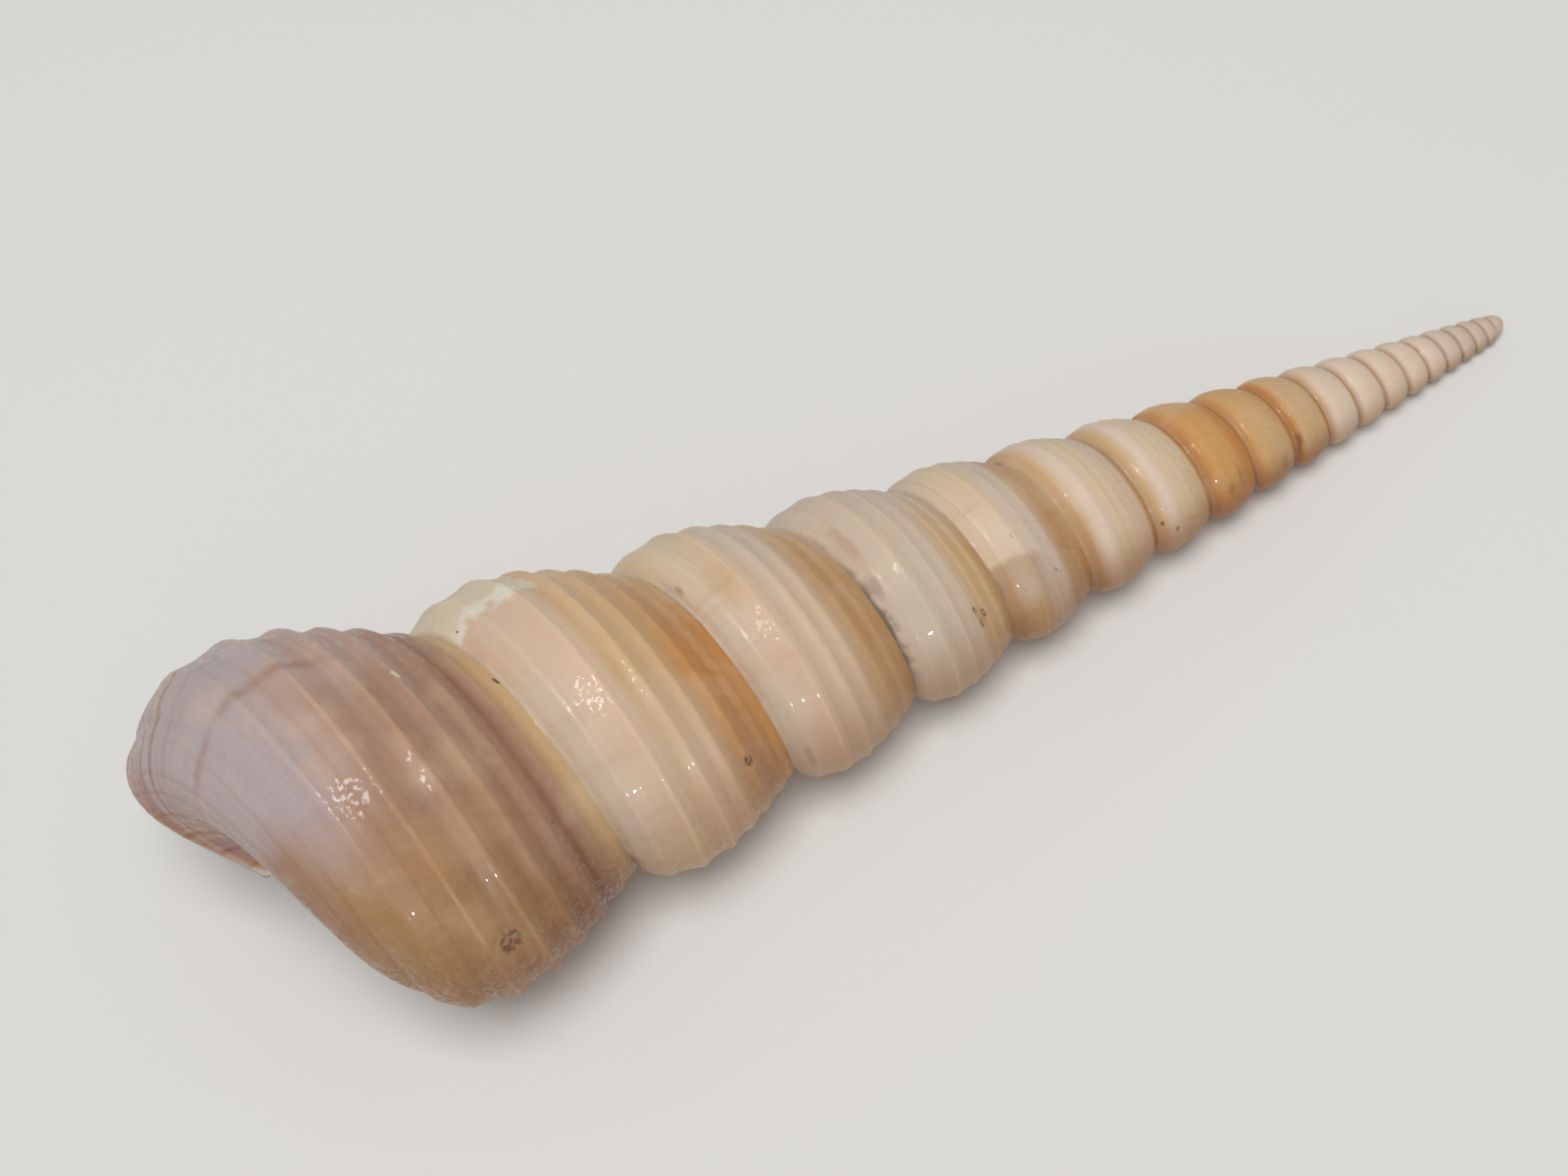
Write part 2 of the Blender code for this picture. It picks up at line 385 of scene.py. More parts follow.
def add_mouth(skin, whorls, base, wall):
    """The lip's rounded edge and the hollow behind it."""
    pillar = [row[-1] for row in base]
    edge = whorls[0] + base[0][1:] + pillar[1:] + base[-1][-2:0:-1]
    points = np.concatenate(skin.points)[edge]
    # The outline without its turning gives each edge point its share of the way round.
    plain = np.stack([-points[:, 2], np.hypot(points[:, 0], points[:, 1])], -1)
    steps = np.hypot(*np.diff(np.concatenate([plain, plain[:1]]), axis=0).T)
    places = np.concatenate([[0.0], np.cumsum(steps)[:-1]]) / steps.sum()
    lip = len(whorls[0]) + len(base[0]) - 1
    bulge = np.sin(math.pi * np.linspace(0.0, 1.0, lip)) ** RIM_FULLNESS
    forward = np.concatenate([bulge, np.zeros(len(edge) - lip)])
    inner = hollow_ring(0.5 / HOLLOW_ROWS_A_TURN, places, wall)
    rows = [edge]
    for row in range(1, RIM_ROWS + 1):
        share = row / RIM_ROWS
        blend = points + (inner - points) * share
        angle = -2.0 * math.pi * RIM_BULGE * np.sin(math.pi * share) * forward
        cos = np.cos(angle)
        sin = np.sin(angle)
        x, y, z = blend.T
        rows.append(skin.add(np.stack([x * cos - y * sin, x * sin + y * cos, z], -1)))
    walked = places.tolist() + [1.0]
    for first, second in zip(rows, rows[1:]):
        skin.collar(second, first, (0.0, RIM_MARK), INSIDE, (walked, walked))
    even = (np.arange(HOLLOW_POINTS) / HOLLOW_POINTS).tolist()
    last = rows[-1]
    last_steps = walked
    count = round(HOLLOW_TURNS * HOLLOW_ROWS_A_TURN)
    for row in range(1, count + 1):
        turns = row / HOLLOW_ROWS_A_TURN
        ring = skin.add(hollow_ring(turns, even, wall))
        here = even + [1.0]
        skin.collar(ring, last, (turns, HOLLOW_MARK), INSIDE, (here, last_steps))
        last = ring
        last_steps = here
    middle = np.concatenate(skin.points)[last].mean(axis=0)
    skin.fan(last[::-1], skin.add([middle])[0], (HOLLOW_TURNS, HOLLOW_MARK), INSIDE)


def add_tip(skin, whorls):
    """The blunt, rounded tip."""
    ring = [row[0] for row in whorls[: -ROWS_A_TURN - 1 : -1]] + whorls[-1][:0:-1]
    points = np.concatenate(skin.points)[ring]
    tip_drop, tip_radius = seam(APEX_TURNS)
    top = -tip_drop + TIP_HEIGHT * tip_radius
    mark = (APEX_TURNS, TIP_MARK)
    walked = list(range(len(ring) + 1))
    for row in range(1, TIP_ROWS):
        angle = 0.5 * math.pi * row / TIP_ROWS
        for _ in range(TIP_SMOOTHING):
            points = 0.5 * points + 0.25 * (np.roll(points, 1, axis=0) + np.roll(points, -1, axis=0))
        radii = np.hypot(points[:, 0], points[:, 1])
        rounded = (1.0 + (radii.mean() / radii - 1.0) * math.sin(angle)) * math.cos(angle)
        dome = points * np.stack([rounded, rounded, np.full(len(ring), 1.0 - math.sin(angle))], -1)
        dome[:, 2] += top * math.sin(angle)
        numbers = skin.add(dome)
        skin.collar(numbers, ring, mark, OUTSIDE, (walked, walked))
        ring = numbers
    skin.fan(ring[::-1], skin.add([(0.0, 0.0, top)])[0], mark, OUTSIDE)


def shell_mesh(wall):
    """The whole shell, upright, as one closed mesh."""
    skin = Skin()
    whorls = add_whorls(skin)
    base = add_base(skin, whorls)
    add_mouth(skin, whorls, base, wall)
    add_tip(skin, whorls)
    return skin.mesh("shell")


def resting():
    """The matrix that lays the shell down."""
    turned = Matrix.Rotation(math.radians(90.0) + LEAN, 4, "Y") @ Matrix.Rotation(ROLL, 4, "Z")
    return Matrix.Translation(PLACE) @ turned


# ---------------------------------------------------------------- finishes


def paint(red, green, blue):
    """A colour given as it looks, 0 to 255, as the linear colour that shaders take."""
    shares = [value / 255.0 for value in (red, green, blue)]
    return tuple(s / 12.92 if s <= 0.04045 else ((s + 0.055) / 1.055) ** 2.4 for s in shares)


class Tone:
    """A value that varies over a surface. A sum on numbers adds its Math nodes."""

    def __init__(self, finish, socket):
        self.finish = finish
        self.socket = socket

    def __add__(self, other):
        return self.finish.math("ADD", self, other)

    def __radd__(self, other):
        return self.finish.math("ADD", other, self)

    def __sub__(self, other):
        return self.finish.math("SUBTRACT", self, other)

    def __rsub__(self, other):
        return self.finish.math("SUBTRACT", other, self)

    def __mul__(self, other):
        return self.finish.math("MULTIPLY", self, other)

    def __rmul__(self, other):
        return self.finish.math("MULTIPLY", other, self)

    def __mod__(self, other):
        return self.finish.math("MODULO", self, other)

    def __pow__(self, other):
        return self.finish.math("POWER", self, other)

    def __abs__(self):
        return self.finish.math("ABSOLUTE", self)


class Finish:
    """Builds the nodes of one material, or of the world."""

    def __init__(self, owner):
        owner.use_nodes = True
        self.owner = owner
        self.tree = owner.node_tree
        self.tree.nodes.clear()

    def node(self, kind, settings=None, inputs=None, output=0):
        """Adds a node, makes its settings, fills or links its sockets and returns an output."""
        node = self.tree.nodes.new(kind)
        for key, value in (settings or {}).items():
            if key == "stops":
                ramp = node.color_ramp
                ramp.elements.remove(ramp.elements[1])
                ramp.elements[0].position = value[0][0]
                ramp.elements[0].color = value[0][1]
                for position, colour in value[1:]:
                    ramp.elements.new(position).color = colour
            elif key == "blend":
                node.color_ramp.interpolation = value
            else:
                setattr(node, key, value)
        for key, value in (inputs or {}).items():
            if isinstance(value, Tone):
                self.tree.links.new(value.socket, node.inputs[key])
            else:
                node.inputs[key].default_value = value
        return Tone(self, node.outputs[output]) if node.outputs else None

    def math(self, operation, *values):
        return self.node("ShaderNodeMath", {"operation": operation}, dict(enumerate(values)))

    def growth(self):
        """Turns and across."""
        marks = self.node("ShaderNodeUVMap", {"uv_map": "growth"})
        return [self.node("ShaderNodeSeparateXYZ", None, {0: marks}, axis) for axis in (0, 1)]

    def place(self):
        """Place in space, in metres."""
        return self.node("ShaderNodeTexCoord", None, None, "Object")

    def vector(self, x, y):
        return self.node("ShaderNodeCombineXYZ", None, {0: x, 1: y})

    def noise(self, where, scale, detail):
        """Smooth cloudy noise from 0 to 1."""
        return self.node("ShaderNodeTexNoise", None, {"Vector": where, "Scale": scale, "Detail": detail})

    def step(self, value, low, high):
        """0 below one limit and 1 past the other, with a smooth change between."""
        settings = {"interpolation_type": "SMOOTHSTEP"}
        return self.node("ShaderNodeMapRange", settings, {0: value, 1: low, 2: high, 3: 0.0, 4: 1.0})

    def between(self, value, low, full, last, high):
        """0 below low, 1 from full to last and 0 again past high."""
        return self.step(value, low, full) * self.step(value, high, last)

    def hump(self, value, middle, half):
        """1 at the middle, falling smoothly to 0 half a width to both sides."""
        return self.step(abs(value - middle), half, 0.0)

    def humps(self, value, table):
        """Sum of humps, each with its middle, half width and strength."""
        total = 0.0
        for middle, half, strength in table:
            total = strength * self.hump(value, middle, half) + total
        return total

    def mix(self, factor, first, second):
        """Colour that goes from the first to the second."""
        return self.node("ShaderNodeMix", {"data_type": "RGBA"}, {0: factor, 6: first, 7: second}, 2)

    def by_turns(self, turns, stops):
        """Colour that follows the turns."""
        table = [(place / RAMP_TURNS, colour) for place, colour in stops]
        settings = {"stops": table, "blend": "EASE"}
        return self.node("ShaderNodeValToRGB", settings, {0: turns * (1.0 / RAMP_TURNS)})

    def bumped(self, height):
        """Normal of a surface raised by a height in metres."""
        return self.node("ShaderNodeBump", None, {"Strength": 1.0, "Distance": 1.0, "Height": height})

    def principled(self, inputs):
        return self.node("ShaderNodeBsdfPrincipled", None, inputs)

    def output(self, shader, kind="ShaderNodeOutputMaterial"):
        self.node(kind, None, {"Surface": shader})
        return self.owner


RAMP_TURNS = 20.0  # turns from end to end of a colour ramp

# The paint of each band of the whorl, by turns. Towards the tip most of them are the same.
TIP_BAND = ((14.00, "pearl"), (16.00, "bone"), (19.00, "bone"))
SEAM_BAND = (
    (0.00, "bone"), (0.12, "honey"), (0.55, "honey"), (0.90, "blush"), (1.15, "honey"),
    (1.26, "ember"), (1.50, "caramel"), (2.10, "bone"), (2.25, "tan"), (2.45, "tan"),
    (3.10, "bone"), (3.30, "tan"), (4.20, "honey"), (4.45, "ember"), (5.20, "tan"), (5.50, "ember"),
    (9.00, "ember"), (9.80, "caramel"), (10.40, "peach"), (12.00, "blush"), (19.00, "bone"),
)
UPPER_BAND = (
    (0.00, "lilac"), (0.12, "mauve"), (0.38, "mauve"), (0.52, "umber"), (0.90, "umber"),
    (1.10, "peach"), (1.22, "tan"), (1.32, "ember"), (1.50, "tan"), (1.60, "honey"),
    (2.10, "honey"), (2.30, "tan"), (2.60, "honey"), (3.10, "bone"), (3.30, "honey"),
    (3.60, "honey"), (4.15, "tan"), (4.50, "tan"), (5.10, "bone"), (5.35, "blush"), (6.20, "ivory"),
    (6.50, "honey"), (6.90, "caramel"), (7.30, "ember"), (8.15, "caramel"), (8.50, "honey"),
    (9.60, "honey"), (10.40, "pearl"),
    *TIP_BAND,
)
MIDDLE_BAND = (
    (0.00, "rose"), (0.24, "rose"), (0.34, "umber"), (0.50, "gold"), (0.90, "honey"),
    (1.15, "peach"), (1.30, "honey"), (1.45, "blush"), (2.15, "bone"), (2.40, "blush"),
    (2.60, "bone"), (4.50, "bone"), (5.20, "ivory"), (6.60, "ivory"), (7.15, "caramel"),
    (8.00, "caramel"), (8.50, "honey"), (9.60, "honey"), (10.40, "pearl"),
    *TIP_BAND,
)
LOWER_BAND = (
    (0.00, "rose"), (0.08, "lilac"), (0.17, "lilac"), (0.23, "rose"), (0.30, "umber"),
    (0.38, "gold"), (0.60, "gold"), (0.90, "honey"), (1.05, "blush"), (1.35, "blush"),
    (1.48, "ivory"), (2.15, "ivory"), (2.30, "blush"), (3.40, "bone"), (4.20, "ivory"),
    (4.36, "pearl"), (4.42, "honey"), (4.60, "honey"), (5.20, "pearl"), (6.60, "pearl"),
    (7.15, "caramel"), (9.30, "honey"), (10.40, "pearl"),
    *TIP_BAND,
)
EDGE_BAND = (
    (0.00, "lilac"), (0.24, "lilac"), (0.30, "rose"), (0.37, "gold"), (0.60, "gold"),
    (0.90, "honey"), (1.10, "blush"), (1.20, "bone"), (1.38, "bone"), (1.60, "blush"),
    (2.10, "ivory"), (2.25, "bone"), (4.00, "bone"), (4.34, "ivory"), (4.41, "tan"), (4.55, "tan"),
    (5.20, "honey"), (5.38, "tan"), (5.70, "honey"), (6.30, "honey"), (6.60, "peach"),
    (7.15, "ember"), (8.60, "caramel"), (9.40, "ember"), (9.70, "caramel"), (10.30, "blush"),
    (11.00, "pearl"),
    *TIP_BAND,
)
BASE_BAND = (
    (0.00, "rose"), (0.06, "lilac"), (0.24, "lilac"), (0.34, "umber"), (0.60, "gold"),
    (1.00, "peach"),
)

# Where a band gives way to the next: place across the whorl, half width.
BAND_EDGES = ((0.080, 0.050), (0.320, 0.100), (0.610, 0.040), (0.850, 0.090), (1.020, 0.060))

# Dark furrows, and the crests that are pale, their pale lines partly painted highlight: place across the
# whorl, half width, strength.
FURROWS = ((0.172, 0.036, 0.75), (0.300, 0.034, 0.28), (0.435, 0.038, 0.30), (0.600, 0.045, 0.28))
PALE_CRESTS_AND_HIGHLIGHT = ((0.235, 0.018, 0.2), (0.360, 0.018, 0.3), (0.505, 0.018, 0.7), (0.690, 0.018, 1.0))

# Growth lines lean back from the lower edge to the upper: turns they lag by across the whorl.
LINE_LEAN = 0.06

# Lines where growth stopped: turns, half width in turns, strength of the brown line.
REST_LINES = (
    (0.065, 0.009, 0.35), (0.105, 0.009, 0.35), (0.165, 0.009, 0.25), (0.226, 0.009, 0.75),
    (1.780, 0.009, 0.80), (3.780, 0.009, 0.90), (5.800, 0.009, 0.70),
)

# The mark across the fifth whorl, in turns: start, full, full until, end.
MARK_BEHIND = (4.383, 4.400, 4.410, 4.520)
MARK_BEFORE = (4.180, 4.360, 4.380, 4.398)

# Clouds of another colour: number a metre, noise at which they start and are full, paint, strength.
CLOUDS = ((170.0, 0.50, 0.72, "ivory", 0.30), (110.0, 0.56, 0.72, "peach", 0.30))

# Painted shade: each whorl is darker and warmer half a turn on from the lip, on the side that faces
# forward and down: place in the turn, half width.
SHADED_SIDE = (0.54, 0.18)
DEEP_SHADE_SIDE = (0.53, 0.14)

# Turns of the whorls where that painted shade is deepest, and of the pinkish seam line: start, full,
# full until, end.
DEEP_SHADE_TURNS = (4.0, 5.0, 9.8, 10.5)
SEAM_LINE = (4.2, 6.0, 9.0, 12.0)

# Small pits: turns, across, half length along and half width across in mm, depth in mm, stain.
# Chips are the same without a stain, and specks are turns, across and half length in mm.
PITS = (
    (0.463, 0.600, 1.35, 1.05, 0.10, 1.0),
    (1.425, 0.235, 0.65, 0.45, 0.25, 1.3),
    (3.397, 0.331, 0.35, 0.25, 0.15, 0.9),
    (3.406, 0.259, 0.45, 0.25, 0.12, 0.8),
    (3.423, 0.313, 0.50, 0.25, 0.15, 0.8),
    (2.720, 0.550, 0.6, 0.4, 0.15, 0.7),
    (1.780, 0.420, 0.5, 0.4, 0.15, 0.6),
    (4.403, 0.427, 0.25, 0.15, 0.06, 0.6),
    (4.410, 0.390, 0.20, 0.12, 0.06, 0.5),
    (4.318, 0.686, 0.20, 0.12, 0.06, 0.7),
    (6.418, 0.923, 0.35, 0.20, 0.06, 0.9),
    (6.456, 0.739, 0.30, 0.20, 0.06, 0.8),
)
CHIPS = (
    (0.223, 0.354, 0.45, 0.30, 0.05),
    (0.700, 0.620, 0.5, 0.4, 0.06),
    (2.830, 0.090, 0.8, 0.6, 0.08),
)
SPECKS = ((0.215, 0.012, 0.35), (1.140, 0.970, 0.18), (0.380, 0.200, 0.14), (1.880, 0.150, 0.30))

# Soft stains, and one patch of painted shade: turns, across, half length along and half width across in
# mm, paint, strength.
BLOTCHES_AND_SHADE = (
    (9.395, 0.900, 0.8, 0.45, "chestnut", 0.75),
    (9.430, 0.950, 0.9, 0.25, "chestnut", 0.50),
    (7.420, 0.400, 1.6, 0.35, "chestnut", 0.30),
    (7.440, 0.660, 0.8, 0.4, "chestnut", 0.30),
    (8.470, 0.400, 1.4, 0.6, "chestnut", 0.25),
    (2.465, 0.900, 2.2, 0.45, "umber", 0.45),
    (3.290, 0.930, 1.5, 0.50, "dirt", 0.30),
    # Painted shade: the fourth whorl darkened where it meets the third.
    (3.220, 0.900, 3.0, 0.80, "umber", 0.40),
    (2.190, 0.970, 0.8, 0.30, "dirt", 0.40),
    (2.230, 0.780, 2.5, 1.6, "honey", 0.50),
    (3.410, 0.300, 1.0, 0.7, "tan", 0.50),
    (0.463, 0.600, 1.9, 1.5, "ivory", 0.45),
    (1.190, 0.012, 3.0, 0.30, "rose", 0.50),
    (2.190, 0.985, 2.5, 0.35, "rose", 0.50),
    (1.400, 0.130, 9.0, 1.9, "umber", 0.30),
)


def spot_scale(turns, across):
    """Millimetres to a turn and millimetres across the whorl at a place."""
    near = np.array([turns - 0.005, turns + 0.005])
    along = whorl_points(near, np.array([across, across]))
    wide = whorl_points(np.array([turns, turns]), np.array([across - 0.01, across + 0.01]))
    a_turn = np.linalg.norm(along[1] - along[0]) / 0.01
    a_width = np.linalg.norm(wide[1] - wide[0]) / 0.02
    return 1000.0 * a_turn, 1000.0 * a_width


class ShellFinish(Finish):
    """The outside of the shell, layer by layer."""

    def __init__(self, props):
        super().__init__(bpy.data.materials.new("shell_outside"))
        self.props = props
        self.turns, self.across = self.growth()
        self.where = self.place()
        self.line = self.turns + LINE_LEAN * self.across
        self.mottle = self.cloud(900.0, 3.0)

    def colour(self, name):
        return (*getattr(self.props, name), 1.0)

    def along(self, per_turn, per_width, detail=2.0):
        """Noise drawn out along the spiral."""
        return self.noise(self.vector(self.turns * per_turn, self.across * per_width), 1.0, detail)

    def axial(self, per_turn, per_width, detail=2.0):
        """Noise drawn out along the growth lines."""
        return self.noise(self.vector(self.line * per_turn, self.across * per_width), 1.0, detail)

    def cloud(self, per_metre, detail=2.0):
        """Noise in space, the same every way."""
        return self.noise(self.where, per_metre, detail)

    def stain(self, factor, colour, name):
        """Colour darkened by a paint that lies thinly on it, for real stains and for painted shade."""
        settings = {"data_type": "RGBA", "blend_type": "MULTIPLY"}
        return self.node("ShaderNodeMix", settings, {0: factor, 6: colour, 7: self.colour(name)}, 2)

    def cover(self, factor, colour, name):
        """Colour covered by a paint."""
        return self.mix(factor, colour, self.colour(name))

    def reach(self, turns, across, along, wide):
        """Distance from a place, as a share of half a length along and half a width across in mm."""
        a_turn, a_width = spot_scale(turns, across)
        first = (self.turns - turns) * (a_turn / along)
        second = (self.across - across) * (a_width / wide)
        return (first * first + second * second) ** 0.5

    def banded(self):
        """The spiral bands of colour."""
        wander = 0.05 * (self.along(2.5, 3.0) - 0.5)
        across = self.across + wander
        bands = (SEAM_BAND, UPPER_BAND, MIDDLE_BAND, LOWER_BAND, EDGE_BAND, BASE_BAND)
        shift = self.turns + 0.25 * (self.cloud(90.0) - 0.5)
        colours = []
        for band in bands:
            colours.append(self.by_turns(shift, [(at, self.colour(name)) for at, name in band]))
        colour = colours[0]
        for (edge, half), next_colour in zip(BAND_EDGES, colours[1:]):
            colour = self.mix(self.step(across, edge - half, edge + half), colour, next_colour)
        return colour

    def clouded(self, colour):
        """Clouds of paler and warmer shell, the soft stains, and a patch of painted shade."""
        for per_metre, low, high, name, strength in CLOUDS:
            cloud = self.step(self.cloud(per_metre, 3.0), low, high)
            colour = self.cover(strength * cloud, colour, name)
        for at, place, along, wide, name, strength in BLOTCHES_AND_SHADE:
            soft = self.step(self.reach(at, place, along, wide) + self.mottle, 1.7, 0.7)
            colour = self.cover(strength * soft, colour, name)
        return colour

    def shaded_and_seam_lined(self, colour):
        """Painted shade, darker and warmer, on the side of each whorl that faces forward and down and in
        the grooves at the seams; and the pinkish seam line.
        """
        turns = self.turns
        across = self.across
        # Painted shade: darker and warmer on the side of each whorl that faces forward and down.
        colour = self.stain(self.hump(turns % 1.0, *SHADED_SIDE), colour, "warmth_and_shade")
        # Painted shade, deepest on the whorls of the spire and on the last whorl near its upper seam, on
        # that forward, lower side.
        most = self.between(turns, *DEEP_SHADE_TURNS)
        most = most + 0.8 * self.step(turns, 1.0, 0.8) * self.step(across, 0.60, 0.30)
        colour = self.stain(0.55 * most * self.hump(turns % 1.0, *DEEP_SHADE_SIDE), colour, "furrow")
        # Painted shade in the grooves at the seams of the upper whorls.
        groove_shade = self.hump(across, 0.0, 0.16) + self.hump(across, 1.0, 0.14)
        colour = self.stain(0.50 * groove_shade * self.step(turns, 4.0, 11.0), colour, "furrow")
        seam_line = self.hump(across + 0.03 * self.mottle, 1.0, 0.055) * self.between(turns, *SEAM_LINE)
        return self.cover(0.20 * seam_line, colour, "rose")

    def corded(self, colour):
        """Furrows, dark on the last whorl and faint after it, where a warm stain in them is painted
        shade; and pale crests, partly painted highlight.
        """
        last_whorl = self.step(self.turns, 1.2, 0.7)
        furrow = self.humps(self.across, FURROWS)
        furrow = furrow * self.step(self.turns, 5.0, 2.5) * (0.45 + 0.9 * self.along(4.0, 8.0))
        colour = self.stain(furrow * (0.06 + 0.94 * last_whorl), colour, "furrow")
        # Painted shade: the furrows of the later whorls are darkened and warmed.
        colour = self.stain(0.28 * furrow * (1.0 - last_whorl), colour, "warmth_and_shade")
        # The pale crests are partly the shell's own pale lines and partly painted highlight.
        crest = self.humps(self.across, PALE_CRESTS_AND_HIGHLIGHT)
        crest = crest * self.step(self.along(14.0, 6.0), 0.35, 0.65) * self.step(self.turns, 7.0, 4.0)
        return self.cover(0.28 * crest, colour, "ivory")

    def lined(self, colour):
        """Fine spiral lines and growth lines."""
        spiral = self.step(self.along(1.2, 20.0, 3.0), 0.46, 0.80)
        spiral_strength = 0.40 - 0.22 * self.step(self.turns, 3.5, 5.5)
        colour = self.stain(spiral_strength * spiral, colour, "warmth_and_shade")
        lines = self.axial(70.0, 1.6, 4.0)
        patches = self.step(self.cloud(60.0, 1.0), 0.45, 0.65)
        clear = 0.08 + 0.32 * patches * self.step(self.turns, 0.0, 0.5)
        colour = self.stain(clear * self.step(lines, 0.50, 0.80), colour, "warmth_and_shade")
        return self.cover(0.3 * clear * self.step(lines, 0.46, 0.25), colour, "ivory")

    def rested(self, colour):
        """Lines where growth stopped, the close ones by the lip, and the brown streaks of the base, over
        a darkening of the whole base that is painted shade.
        """
        across = self.across
        rests = self.humps(self.line + 0.006 * (self.along(9.0, 9.0) - 0.5), REST_LINES)
        broken = 0.10 + 0.60 * self.step(self.along(8.0, 5.0), 0.35, 0.65)
        colour = self.stain(rests * self.step(across, 0.40, 0.66) * broken, colour, "furrow")
        near_lip = self.step(self.line, 0.20, 0.12) * self.step(across, 0.62, 0.95)
        fine = self.step(self.axial(90.0, 0.8, 1.0), 0.46, 0.64) * near_lip
        colour = self.stain(0.5 * fine, colour, "tan")
        # The base's own brown streaks, over a darkening of the whole base that is painted shade.
        base_streaks_and_shade = 0.35 + 0.5 * self.step(self.along(1.0, 26.0, 3.0), 0.45, 0.65)
        return self.stain(self.step(across, 1.10, 1.60) * base_streaks_and_shade, colour, "furrow")

    def marked(self, colour):
        """A mark across the fifth whorl: tan behind it, white before it."""
        torn = self.line + 0.02 * (self.mottle - 0.5)
        lower_side = self.step(self.across, 0.40, 0.66)
        colour = self.stain(0.42 * self.between(torn, *MARK_BEHIND) * lower_side, colour, "tan")
        before = self.between(torn, *MARK_BEFORE) * lower_side
        return self.cover(0.2 * before, colour, "pearl")

    def dirt(self):
        """Patchy dirt in the seams, most of it between the third whorl and the fourth."""
        across = self.across
        patchy = self.step(self.along(7.0, 1.0, 3.0), 0.52, 0.68)
        upper = self.step(across, 0.010, 0.0) * (patchy + self.hump(self.turns, 2.34, 0.16))
        smudge = self.step(across, 0.915, 0.985) * self.step(self.mottle, 0.40, 0.62)
        lower = self.step(across, 0.975, 0.998) + 0.6 * smudge
        lower = lower * self.step(across, 1.02, 1.0) * (patchy + self.hump(self.turns, 3.34, 0.18))
        dirt = (upper + lower) * self.step(self.turns, 0.6, 1.5) * self.step(self.turns, 7.0, 4.0)
        return self.math("MINIMUM", dirt, 1.0)

    def worn_patch(self):
        """The chalky worn patch of the second whorl, and the rim along its front."""
        ragged = 0.05 * (self.cloud(500.0, 3.0) - 0.5)
        front = self.line + ragged
        worn = self.step(front, 1.212, 1.200) * self.step(self.turns, 0.88, 0.96)
        worn = worn * self.step(self.across + 2.0 * ragged, 0.545, 0.575)
        worn = worn * self.step(self.across, 1.0, 0.985)
        return worn, worn * self.step(front, 1.180, 1.200) * self.step(self.across, 0.58, 0.70)

    def chalked(self, colour, worn, rim):
        """The worn patch's chalk, whitest along its rim."""
        chalky = 0.5 * self.step(self.cloud(420.0, 3.0), 0.35, 0.65)
        chalk = self.mix(chalky, self.colour("chalk"), self.colour("ivory"))
        colour = self.mix(0.92 * worn, colour, chalk)
        return self.cover(0.7 * rim, colour, "white")

    def spots(self, grain):
        """Depth of pits and chips in mm, and where they are brown, pale and black."""
        ragged = 0.8 * (grain - 0.5)
        hole = 0.0
        brown = 0.0
        for at, place, along, wide, depth, strength in PITS:
            reach = self.reach(at, place, along, wide) + ragged
            hole = depth * self.step(reach, 1.20, 0.30) + hole
            brown = strength * self.step(reach, 1.15, 0.65) + brown
        brown = self.math("MINIMUM", brown, 1.0)
        brown = brown * (0.25 + 0.75 * self.step(self.cloud(1900.0), 0.40, 0.56))
        pale = 0.0
        for at, place, along, wide, depth in CHIPS:
            reach = self.reach(at, place, along, wide) + ragged
            hole = depth * self.step(reach, 1.20, 0.60) + hole
            pale = self.step(reach, 1.15, 0.75) + pale
        black = 0.0
        for at, place, size in SPECKS:
            black = self.step(self.reach(at, place, size, 0.6 * size) + ragged, 1.15, 0.75) + black
        return hole, brown, pale, black

    def fine_relief(self, grain, hole, worn, rim):
        """Relief too fine for the mesh, in metres."""
        height = 0.00002 * self.along(2.0, 75.0, 2.0)
        height = height + 0.00002 * self.axial(190.0, 2.0, 3.0)
        height = height + 0.00005 * self.cloud(300.0, 2.0)
        height = height + 0.000038 * grain
        height = height - 0.001 * hole
        return height - 0.00012 * worn + 0.00008 * rim + 0.00005 * worn * grain

    def surfaced(self):
        colour = self.banded()
        for layer in (self.clouded, self.shaded_and_seam_lined, self.corded, self.lined, self.rested, self.marked):
            colour = layer(colour)
        dirt = self.dirt()
        colour = self.cover(0.75 * dirt, colour, "dirt")
        worn, rim = self.worn_patch()
        colour = self.chalked(colour, worn, rim)
        grain = self.cloud(1500.0, 3.0)
        hole, brown, pale, black = self.spots(grain)
        colour = self.cover(0.80 * pale, colour, "chalk")
        colour = self.cover(0.90 * brown, colour, "chestnut")
        colour = self.cover(0.85 * black, colour, "dirt")

        dull = 0.30 * worn + 0.25 * dirt + 0.25 * brown
        rough = self.props.roughness + 0.12 * (self.cloud(300.0, 3.0) - 0.5) + dull
        # A thin glaze in small patches gives the sound shell its sharp glints.
        glaze = 0.52 * self.step(self.cloud(2300.0, 2.0), 0.49, 0.61) * (1.0 - worn)
        glaze = glaze * (0.55 + 0.45 * self.step(self.turns, 2.6, 1.6))
        inputs = {
            "Base Color": colour,
            "Roughness": rough,
            "Normal": self.bumped(self.fine_relief(grain, hole, worn, rim)),
            "Coat Weight": glaze,
            "Coat Roughness": 0.06,
            "Specular IOR Level": 0.20,
            "Subsurface Weight": 0.60,
            "Subsurface Radius": (1.0, 0.6, 0.4),
            "Subsurface Scale": 0.0022,
        }
        return self.output(self.principled(inputs))


def outside_finish(props):
    return ShellFinish(props).surfaced()


